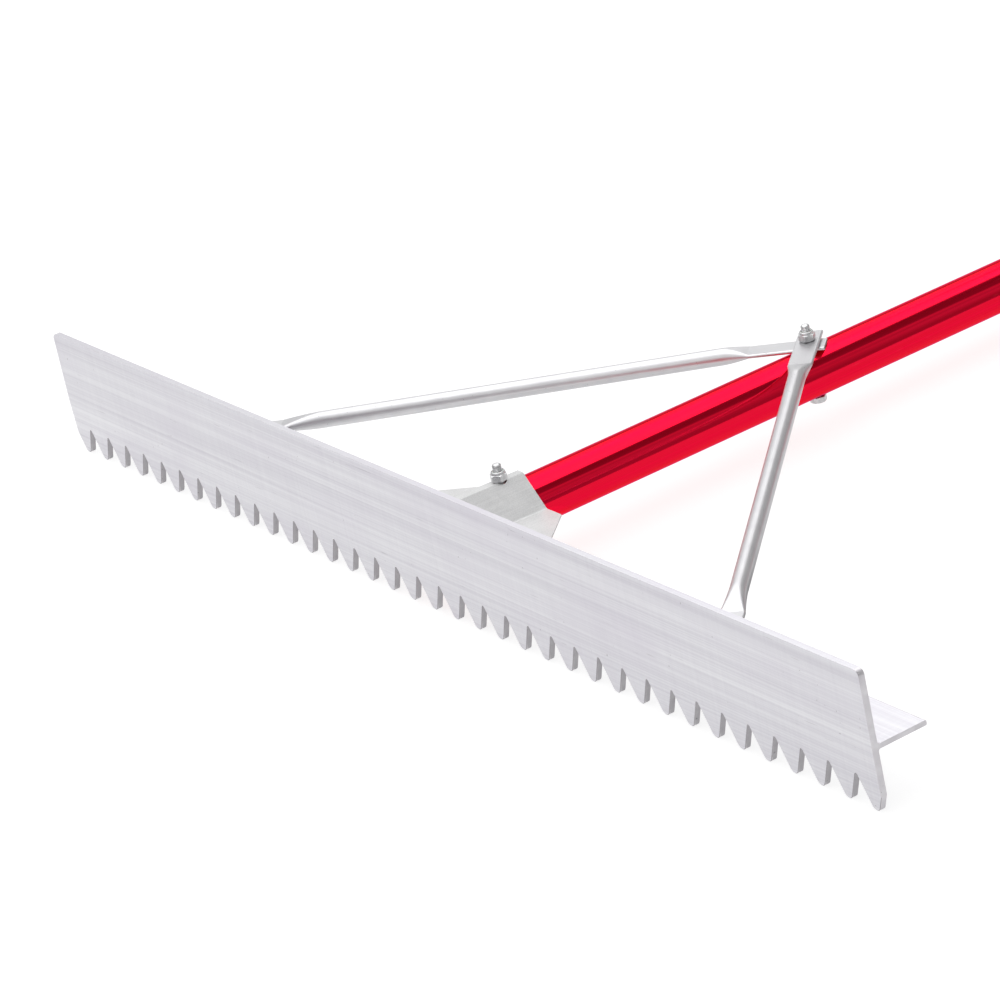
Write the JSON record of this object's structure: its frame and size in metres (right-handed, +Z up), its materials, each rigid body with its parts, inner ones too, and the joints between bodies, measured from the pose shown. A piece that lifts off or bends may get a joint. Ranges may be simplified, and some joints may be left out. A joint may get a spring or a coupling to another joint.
{
  "type": "asphalt rake",
  "caption": "Asphalt rake: a long toothed T-section blade with a round handle slotted over its flange, held by a folded saddle bracket and flattened-end braces bolted in a triangle.",
  "frame": {"origin": "centre of the bounding box's footprint, on the ground, with the rake lying on its tooth tips and its handle's end", "axes": "+X along the blade, +Y from the blade along the handle, +Z up"},
  "size_m": [0.915, 2.0938, 0.0877],
  "materials": {
    "head_aluminium": "mill-finished extrusion with fine lengthwise lines and light scratches",
    "red_handle": "glossy red anodised tube with a mirror-like sheen",
    "black_plastic": "matt moulded",
    "bracket_sheet": "fine-grained matt folded sheet",
    "brace_aluminium": "satin-bright drawn tube with pressed ends",
    "zinc_steel": "bright zinc plate",
    "nylon": "off-white nylon"
  },
  "bodies": {
    "root": {"toothed_head": "head_aluminium", "handle_tube": "red_handle", "handle_end_plug": "black_plastic", "saddle_bracket": "bracket_sheet", "left_brace": "brace_aluminium", "right_brace": "brace_aluminium", "brace_joint_bolt": "zinc_steel", "brace_joint_nut": "zinc_steel", "brace_joint_nut_insert": "nylon", "saddle_bolt": "zinc_steel", "saddle_nut": "zinc_steel", "saddle_nut_insert": "nylon", "left_foot_bolt": "zinc_steel", "left_foot_nut": "zinc_steel", "left_foot_nut_insert": "nylon", "left_ear_bolt": "zinc_steel", "left_ear_nut": "zinc_steel", "left_ear_nut_insert": "nylon", "right_foot_bolt": "zinc_steel", "right_foot_nut": "zinc_steel", "right_foot_nut_insert": "nylon", "right_ear_bolt": "zinc_steel", "right_ear_nut": "zinc_steel", "right_ear_nut_insert": "nylon"}
  },
  "joints": []
}
